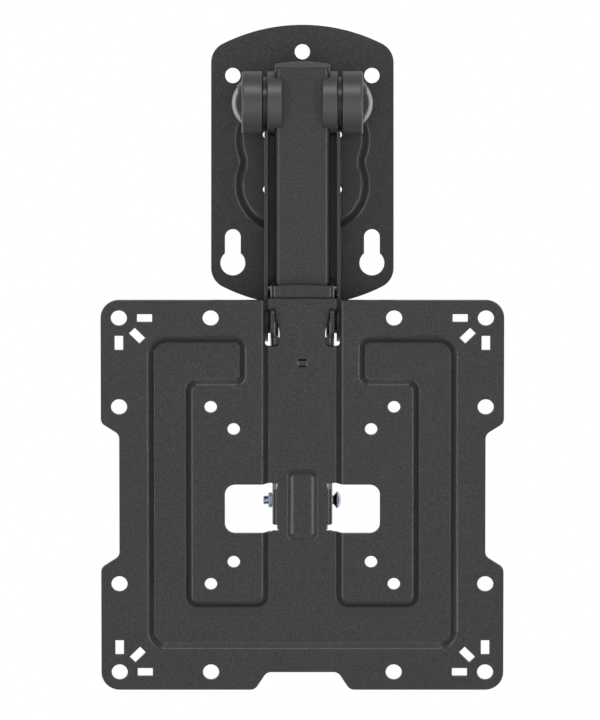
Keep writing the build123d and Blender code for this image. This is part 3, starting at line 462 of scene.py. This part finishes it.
@dataclass
class SubAssembly:
    """Pieces that sit on one rigid body and are dressed together.

    The shares are the usual proportions of a metric thread and of a chamfered nut: a thread's depth
    and the two ends of its crest as shares of the pitch, and a nut's flat face as a share of its
    width. The offset keeps a thread's corners off the planes that cut its ends.
    """

    nodes: dict[str, bpy.types.Object]
    slots: dict[str, Slot]
    shelf: FinishShelf
    sheet_edge_mm: float = 0.25
    sheet_edge_rounds: int = 2
    sheet_edge_degrees: float = 62.0
    turned_edge_degrees: float = 32.0
    merge_mm: float = 0.002
    flat_degrees: float = 0.05
    stray_mm: float = 0.28
    circle_steps: int = 96
    thread_steps: int = 32
    thread_merge_mm: float = 0.0002
    thread_lap_mm: float = 0.3
    thread_offset: float = 0.013
    thread_spare_turns: int = 2
    thread_depth_share: float = 0.61
    crest_shares: tuple[float, float] = (0.44, 0.56)
    nut_face_share: float = 0.95
    nut_chamfer_degrees: float = 30.0

    body: ClassVar[Body]

    def build(self) -> None:
        """Dress every piece of the sub-assembly."""
        raise NotImplementedError

    def show(self, *names: str) -> None:
        """Show CAD nodes as they are, in their finish.

        Args:
            *names: CAD nodes.
        """
        for name in names:
            shown = self.nodes[name]
            for held in shown.material_slots:
                held.material = self.shelf.get(self.slots[name])
            LOG.info("%s: shown as packed", name)

    def copy_node(self, name: str) -> bpy.types.Object:
        """Copy a CAD node as a mesh that can be worked on, with its loose triangles merged.

        Args:
            name: CAD node.

        Returns:
            The copy, free of its body.
        """
        source = self.nodes[name]
        piece = source.copy()
        piece.data = source.data.copy()
        piece.parent = None
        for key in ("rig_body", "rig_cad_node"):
            if key in piece:
                del piece[key]
        piece.name = f"{name}_dressed"
        bpy.context.scene.collection.objects.link(piece)
        with whole_mesh(piece):
            bpy.ops.mesh.remove_doubles(threshold=self.merge_mm * MM)
            bpy.ops.mesh.dissolve_limited(angle_limit=math.radians(self.flat_degrees))
        return piece

    def stand_for(self, piece: bpy.types.Object, name: str) -> None:
        """Dress a piece and let it stand for its CAD node.

        Args:
            piece: Finished piece.
            name: CAD node that it replaces.
        """
        piece.data.materials.clear()
        piece.data.materials.append(self.shelf.get(self.slots[name]))
        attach(piece, self.body.value)
        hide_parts(name)
        LOG.info("%s: %d faces", piece.name, len(piece.data.polygons))

    def round_edges(self, name: str) -> bpy.types.Object:
        """Round the cut edges of a sheet part, as tumbling and the coat leave them.

        Args:
            name: CAD node.

        Returns:
            The finished piece.
        """
        piece = self.copy_node(name)
        apply_modifier(
            piece,
            "BEVEL",
            width=self.sheet_edge_mm * MM,
            segments=self.sheet_edge_rounds,
            limit_method="ANGLE",
            angle_limit=math.radians(self.sheet_edge_degrees),
            use_clamp_overlap=False,
            harden_normals=False,
        )
        self.pull_strays(piece, name)
        self.smooth(piece, self.sheet_edge_degrees)
        self.stand_for(piece, name)
        return piece

    def pull_strays(self, piece: bpy.types.Object, name: str) -> None:
        """Bring back the few corners that the rounding throws off the sheet where edges crowd.

        Args:
            piece: Piece with rounded edges.
            name: CAD node that it stands for.
        """
        packed = self.nodes[name].data
        corners = [corner.co for corner in packed.vertices]
        faces = [tuple(face.vertices) for face in packed.polygons]
        surface = BVHTree.FromPolygons(corners, faces)
        for corner in piece.data.vertices:
            place, _, _, distance = surface.find_nearest(corner.co)
            if distance > self.stray_mm * MM:
                corner.co = place

    @staticmethod
    def smooth(piece: bpy.types.Object, degrees: float) -> None:
        """Smooth a piece's bends and rounds, and keep its flats flat.

        Args:
            piece: Finished piece.
            degrees: Steepest edge that is smoothed.
        """
        select_only(piece)
        bpy.ops.object.shade_smooth_by_angle(angle=math.radians(degrees))
        apply_modifier(piece, "WEIGHTED_NORMAL", mode="FACE_AREA", keep_sharp=True)

    def chamfer_hexagon(
        self,
        piece: bpy.types.Object,
        near: Vector,
        far: Vector,
        flats_mm: float,
        ends: tuple[bool, bool],
    ) -> None:
        """Turn the corners off a hexagon's ends, which leaves the curved chamfer of a real nut.

        Args:
            piece: Nut or bolt with the hexagon.
            near: Middle of the hexagon's first end.
            far: Middle of its second end.
            flats_mm: Size across the flats.
            ends: Whether the first and the second end are chamfered.
        """
        corner = flats_mm / math.sqrt(3) * MM
        face = self.nut_face_share * flats_mm / 2 * MM
        drop = (corner - face) * math.tan(math.radians(self.nut_chamfer_degrees))
        length = (far - near).length
        bpy.ops.object.select_all(action="DESELECT")
        bpy.ops.mesh.primitive_cylinder_add(
            vertices=self.circle_steps, radius=corner, depth=length - drop * sum(ends)
        )
        tool = bpy.context.object
        bpy.ops.object.mode_set(mode="EDIT")
        for end, direction in zip(ends, (-1, 1)):
            if end:
                self.extrude_cap(tool, direction, drop, face / corner)
        bpy.ops.object.mode_set(mode="OBJECT")
        shift = (far - near).normalized() * drop * (ends[0] - ends[1]) / 2
        set_on_axis(tool, (near + far) / 2 + shift, far - near)
        combine(piece, tool, "INTERSECT")

    @staticmethod
    def extrude_cap(tool: bpy.types.Object, direction: int, height: float, scale: float) -> None:
        """Extrude one cap of an upright cylinder and draw it in.

        Args:
            tool: Cylinder in edit mode.
            direction: 1 for the upper cap and -1 for the lower one.
            height: Length of the extrusion in metres.
            scale: Size of the new cap as a share of the old one.
        """
        bpy.ops.mesh.select_mode(type="FACE")
        bpy.ops.mesh.select_all(action="DESELECT")
        bpy.ops.object.mode_set(mode="OBJECT")
        for cap in tool.data.polygons:
            cap.select = cap.normal.z * direction > CAP_COSINE
        bpy.ops.object.mode_set(mode="EDIT")
        bpy.ops.mesh.extrude_region_move(
            TRANSFORM_OT_translate={"value": (0, 0, direction * height)}
        )
        bpy.ops.transform.resize(value=(scale, scale, 1))

    def cut_thread(
        self,
        piece: bpy.types.Object,
        start: Vector,
        end: Vector,
        diameter_mm: float,
        pitch_mm: float,
    ) -> None:
        """Replace a bolt's smooth end by a thread.

        Args:
            piece: Copy of the bolt.
            start: Point on its axis where the thread starts.
            end: Point on its axis at the bolt's tip.
            diameter_mm: Diameter over the thread's crests.
            pitch_mm: Rise of one turn.
        """
        along = (end - start).normalized()
        lap = self.thread_lap_mm * MM
        length = (end - start).length + lap
        thread = self.turn_thread(length, diameter_mm / 2 * MM, pitch_mm * MM)
        set_on_axis(thread, start - along * lap, along)
        cut_square(piece, start, -along)
        select_only(piece)
        thread.select_set(True)
        bpy.ops.object.join()

    def turn_thread(self, length: float, crest: float, pitch: float) -> bpy.types.Object:
        """Turn a thread up from the origin, with its upper end drawn in at 45 degrees.

        Args:
            length: Length of the thread.
            crest: Radius over its crests.
            pitch: Rise of one turn.

        Returns:
            The closed thread.
        """
        root = crest - self.thread_depth_share * pitch
        thread = self.draw_thread_profile(root, crest, pitch)
        apply_modifier(
            thread,
            "SCREW",
            axis="Z",
            angle=math.tau,
            screw_offset=pitch,
            steps=self.thread_steps,
            render_steps=self.thread_steps,
            iterations=math.ceil(length / pitch) + self.thread_spare_turns,
        )
        with whole_mesh(thread):
            bpy.ops.mesh.remove_doubles(threshold=self.thread_merge_mm * MM)
        cut_square(thread, Vector((0, 0, 0)), Vector((0, 0, 1)))
        cut_square(thread, Vector((0, 0, length)), Vector((0, 0, -1)))
        for corner in thread.data.vertices:
            reach = math.hypot(corner.co.x, corner.co.y)
            limit = root + max(length - corner.co.z, 0)
            if reach > limit:
                corner.co.x *= limit / reach
                corner.co.y *= limit / reach
        with whole_mesh(thread):
            bpy.ops.mesh.fill_holes(sides=0)
            bpy.ops.mesh.normals_make_consistent(inside=False)
        return thread

    def draw_thread_profile(self, root: float, crest: float, pitch: float) -> bpy.types.Object:
        """Draw one turn's profile, which stays open towards the axis.

        Args:
            root: Radius at the thread's roots.
            crest: Radius over its crests.
            pitch: Rise of one turn.

        Returns:
            The profile, a little below the origin.
        """
        bpy.ops.object.select_all(action="DESELECT")
        bpy.ops.mesh.primitive_circle_add(vertices=4, radius=crest)
        thread = bpy.context.object
        crest_start, crest_end = self.crest_shares
        profile = ((root, 0.0), (crest, crest_start), (crest, crest_end), (root, 1.0))
        for corner, (reach, share) in zip(thread.data.vertices, profile):
            corner.co = (reach, 0, (share - 1.0 - self.thread_offset) * pitch)
        bpy.ops.object.mode_set(mode="EDIT")
        bpy.ops.mesh.select_mode(type="EDGE")
        bpy.ops.mesh.select_all(action="DESELECT")
        bpy.ops.object.mode_set(mode="OBJECT")
        for edge in thread.data.edges:
            edge.select = set(edge.vertices) == {0, 3}
        bpy.ops.object.mode_set(mode="EDIT")
        bpy.ops.mesh.delete(type="EDGE")
        bpy.ops.object.mode_set(mode="OBJECT")
        return thread

    def dress_nut(self, name: str, flats_mm: float, axis: Axis) -> Vector:
        """Chamfer both ends of a nut.

        Args:
            name: CAD node of the nut.
            flats_mm: Size across the flats.
            axis: Axis that its bore runs along.

        Returns:
            Middle of the nut.
        """
        low, high = (Vector(corner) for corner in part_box(name))
        middle = (low + high) / 2
        near, far = move_along(middle, axis, low[axis]), move_along(middle, axis, high[axis])
        nut = self.copy_node(name)
        self.chamfer_hexagon(nut, near, far, flats_mm, (True, True))
        self.smooth(nut, self.turned_edge_degrees)
        self.stand_for(nut, name)
        return middle


@dataclass
class CeilingPart(SubAssembly):
    """Ceiling plate with the swivel's bolt, washers and nut."""

    body: ClassVar[Body] = Body.CEILING

    bolt_mm: float = 10.0
    pitch_mm: float = 1.5
    nut_flats_mm: float = 17.0

    def build(self) -> None:
        """Dress every piece of the ceiling part."""
        self.round_edges("ceiling_plate")
        self.show("swivel_glide", "swivel_friction", "swivel_washer")
        middle = self.dress_nut("swivel_nut", self.nut_flats_mm, Axis.Z)
        tip = move_along(middle, Axis.Z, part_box("swivel_bolt")[0][Axis.Z])
        bolt = self.copy_node("swivel_bolt")
        self.cut_thread(bolt, middle, tip, self.bolt_mm, self.pitch_mm)
        self.smooth(bolt, self.turned_edge_degrees)
        self.stand_for(bolt, "swivel_bolt")


@dataclass
class Yoke(SubAssembly):
    """Folded yoke with the outer covers and their caps."""

    body: ClassVar[Body] = Body.YOKE

    def build(self) -> None:
        """Dress every piece of the yoke."""
        self.round_edges("swivel_yoke")
        for side in ("left", "right"):
            self.show(f"outer_cover_{side}", f"end_cap_{side}")


@dataclass
class Arm(SubAssembly):
    """Two nested channels with the hinge's and the tilt's hardware."""

    body: ClassVar[Body] = Body.ARM

    bolt_mm: float = 8.0
    pitch_mm: float = 1.25
    flats_mm: float = 13.0

    def build(self) -> None:
        """Dress every piece of the arm."""
        self.round_edges("arm_channel")
        self.round_edges("arm_cover")
        self.show("arm_end_plug", "limit_pin", "tilt_spacer")
        for side in ("left", "right"):
            self.show(f"inner_cover_{side}", f"hinge_bolt_{side}", f"hinge_nut_{side}")
            self.show(f"hinge_spacer_{side}", f"hinge_friction_{side}", f"hinge_washer_{side}")
            self.show(f"tilt_washer_{side}", f"tilt_friction_{side}")
        self.dress_tilt_bolt()

    def dress_tilt_bolt(self) -> None:
        """Chamfer the tilt bolt's head and nut and cut the thread on its end."""
        middle = self.dress_nut("tilt_nut", self.flats_mm, Axis.X)
        head, tip = (move_along(middle, Axis.X, corner[Axis.X]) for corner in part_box("tilt_bolt"))
        bolt = self.copy_node("tilt_bolt")
        self.chamfer_hexagon(bolt, head, tip, self.flats_mm, (True, False))
        self.cut_thread(bolt, middle, tip, self.bolt_mm, self.pitch_mm)
        self.smooth(bolt, self.turned_edge_degrees)
        self.stand_for(bolt, "tilt_bolt")


@dataclass
class Head(SubAssembly):
    """Head bracket and television plate with the screw that locks them together.

    The neck is the lock bolt's smooth part with its head. The bridge is the small strip that is
    lanced from the television plate's middle.
    """

    body: ClassVar[Body] = Body.HEAD

    bolt_mm: float = 5.0
    pitch_mm: float = 0.8
    nut_flats_mm: float = 7.0
    neck_end_mm: float = 4.6
    bridge_mm: tuple[float, float, float] = (0.0, -157.7, -50.0)
    bridge_reach_mm: float = 5.6
    fold_slack_mm: float = 0.05

    def build(self) -> None:
        """Dress every piece of the head."""
        self.round_edges("head_bracket")
        self.crease_bridge(self.round_edges("vesa_plate"))
        middle = self.dress_nut("lock_nut", self.nut_flats_mm, Axis.X)
        head, tip = (move_along(middle, Axis.X, corner[Axis.X]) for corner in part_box("lock_bolt"))
        neck_end = move_along(head, Axis.X, head.x + self.neck_end_mm * MM)
        bolt = self.copy_node("lock_bolt")
        self.cut_thread(bolt, neck_end, tip, self.bolt_mm, self.pitch_mm)
        self.smooth(bolt, self.turned_edge_degrees)
        self.stand_for(bolt, "lock_bolt")

    def crease_bridge(self, plate: bpy.types.Object) -> None:
        """Keep the folds of the small lanced bridge crisp, so that its feet catch the light.

        Args:
            plate: Finished television plate.
        """
        middle = Vector(self.bridge_mm) * MM
        for edge in plate.data.edges:
            ends = [plate.data.vertices[corner].co for corner in edge.vertices]
            near = all((end - middle).length < self.bridge_reach_mm * MM for end in ends)
            if near and abs(ends[0].x - ends[1].x) < self.fold_slack_mm * MM:
                edge.use_edge_sharp = True
        apply_modifier(plate, "WEIGHTED_NORMAL", mode="FACE_AREA", keep_sharp=True)


@dataclass(frozen=True)
class Lamp:
    """One soft rectangular lamp, aimed at the mount, with its length along the mount's."""

    name: str
    place: tuple[float, float, float]
    width: float
    length: float
    watts: float

    def hang(self, aim: Vector) -> None:
        """Hang the lamp.

        Args:
            aim: Point that it faces.
        """
        bpy.ops.object.light_add(type="AREA", location=self.place)
        lamp = bpy.context.object
        lamp.name = f"lamp_{self.name}"
        lamp.data.shape = "RECTANGLE"
        lamp.data.size = self.width
        lamp.data.size_y = self.length
        lamp.data.energy = self.watts
        back = (Vector(self.place) - aim).normalized()
        across = Vector((0, 1, 0)).cross(back).normalized()
        turn = Matrix((across, back.cross(across), back)).transposed()
        lamp.rotation_mode = "QUATERNION"
        lamp.rotation_quaternion = turn.to_quaternion()


LAMPS = (
    # Broad lamp beyond the picture's top, which lights the hinge's covers from above
    Lamp("key", (0.0, 1.95, -1.75), 1.6, 0.7, 38),
    # Softbox behind the camera, for the flats
    Lamp("front", (0.0, -1.1, -4.0), 2.8, 3.2, 32),
    # Long narrow strips at both sides, for the bright lines along the bends
    Lamp("left", (1.75, -0.8, -2.2), 0.4, 3.0, 62),
    Lamp("right", (-1.75, -0.8, -2.2), 0.4, 3.0, 62),
    # Lamps above the ceiling's plane, for the hidden side, clear of the tabs' reflections
    Lamp("back_left", (2.2, -0.2, 1.8), 1.4, 2.8, 30),
    Lamp("back_right", (-2.2, -0.2, 1.8), 1.4, 2.8, 30),
)


@dataclass
class Studio:
    """Pale floor, soft lamps and the camera that looks up from below."""

    frame_height_mm: float = 393.2
    distance_mm: float = 10000.0
    sensor_mm: float = 36.0
    centre_x_mm: float = 1.3
    centre_y_mm: float = -155.9
    focus_z_mm: float = -35.0
    ambient: float = 0.15
    clip_end: float = 100.0
    floor_drop_mm: float = 12000.0
    floor_size: float = 60.0
    floor_parts: int = 4

    def build(self) -> None:
        """Set up the world, the floor, the lamps and the camera."""
        self.add_world()
        self.add_floor()
        aim = Vector((self.centre_x_mm, self.centre_y_mm, self.focus_z_mm)) * MM
        for lamp in LAMPS:
            lamp.hang(aim)
        self.add_camera()

    @staticmethod
    def background_share(tree: bpy.types.NodeTree) -> bpy.types.NodeSocket:
        """Tell rays that show the background from those that carry its light.

        Args:
            tree: Node tree of the world or of the floor.

        Returns:
            Output socket: 1 for camera, glossy and transmission rays, and otherwise 0.
        """
        path = add_node(tree, "LightPath")
        seen = add_node(
            tree,
            "Math",
            {0: path.outputs["Is Camera Ray"], 1: path.outputs["Is Glossy Ray"]},
            operation="MAXIMUM",
        )
        return add_node(
            tree,
            "Math",
            {0: seen.outputs["Value"], 1: path.outputs["Is Transmission Ray"]},
            operation="MAXIMUM",
        ).outputs["Value"]

    def add_world(self) -> None:
        """Make the world white as a background and dim as a light."""
        world = bpy.data.worlds.new("studio")
        bpy.context.scene.world = world
        world.use_nodes = True
        tree = world.node_tree
        tree.nodes.clear()
        strength = add_node(
            tree,
            "MapRange",
            {"Value": self.background_share(tree), "To Min": self.ambient, "To Max": 1.0},
        )
        background = add_node(
            tree, "Background", {"Color": WHITE, "Strength": strength.outputs["Result"]}
        )
        add_node(tree, "OutputWorld", {"Surface": background.outputs["Background"]})

    def add_floor(self) -> None:
        """Lay a plain pale floor far below, behind the camera, which keeps the mount's shadow."""
        bpy.ops.mesh.primitive_grid_add(
            x_subdivisions=self.floor_parts,
            y_subdivisions=self.floor_parts,
            size=self.floor_size,
            location=(0, 0, -self.floor_drop_mm * MM),
        )
        floor = bpy.context.object
        floor.name = "studio_floor"
        paint = bpy.data.materials.new("pale_floor")
        paint.use_nodes = True
        tree = paint.node_tree
        tree.nodes.clear()
        glow = add_node(
            tree,
            "MapRange",
            {"Value": self.background_share(tree), "To Min": 0.0, "To Max": 1.0 - self.ambient},
        )
        shader = add_node(
            tree,
            "BsdfPrincipled",
            {
                "Base Color": linear("#f2f2f2"),
                "Roughness": 0.9,
                "Specular IOR Level": 0.0,
                "Emission Color": WHITE,
                "Emission Strength": glow.outputs["Result"],
            },
        )
        add_node(tree, "OutputMaterial", {"Surface": shader.outputs["BSDF"]})
        floor.data.materials.append(paint)

    def add_camera(self) -> None:
        """Place the camera below the mount, with the picture's top towards the hinge."""
        depth_mm = self.focus_z_mm - self.distance_mm
        place = Vector((self.centre_x_mm, self.centre_y_mm, depth_mm)) * MM
        bpy.ops.object.camera_add(location=place)
        camera = bpy.context.object
        camera.name = "camera"
        camera.rotation_mode = "QUATERNION"
        camera.rotation_quaternion = Vector((0, 0, 1)).to_track_quat("-Z", "Y")
        camera.data.sensor_width = self.sensor_mm
        camera.data.lens = self.sensor_mm * self.distance_mm / self.frame_height_mm
        camera.data.clip_end = self.clip_end
        bpy.context.scene.camera = camera


def main() -> None:
    """Dress the mount and set up the studio."""
    logging.basicConfig(level=logging.INFO, format="%(name)s: %(message)s")
    bpy.ops.object.select_all(action="SELECT")
    bpy.ops.object.delete()
    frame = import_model()
    rows = frame["record"]["subparts"]
    slots = {row["node"]: Slot(row["material_slot"]) for row in rows}
    shelf = FinishShelf()
    for kind in (CeilingPart, Yoke, Arm, Head):
        kind(frame["nodes"], slots, shelf).build()
    Studio().build()
    bpy.context.scene.view_settings.view_transform = "Standard"


if __name__ == "__main__":
    main()
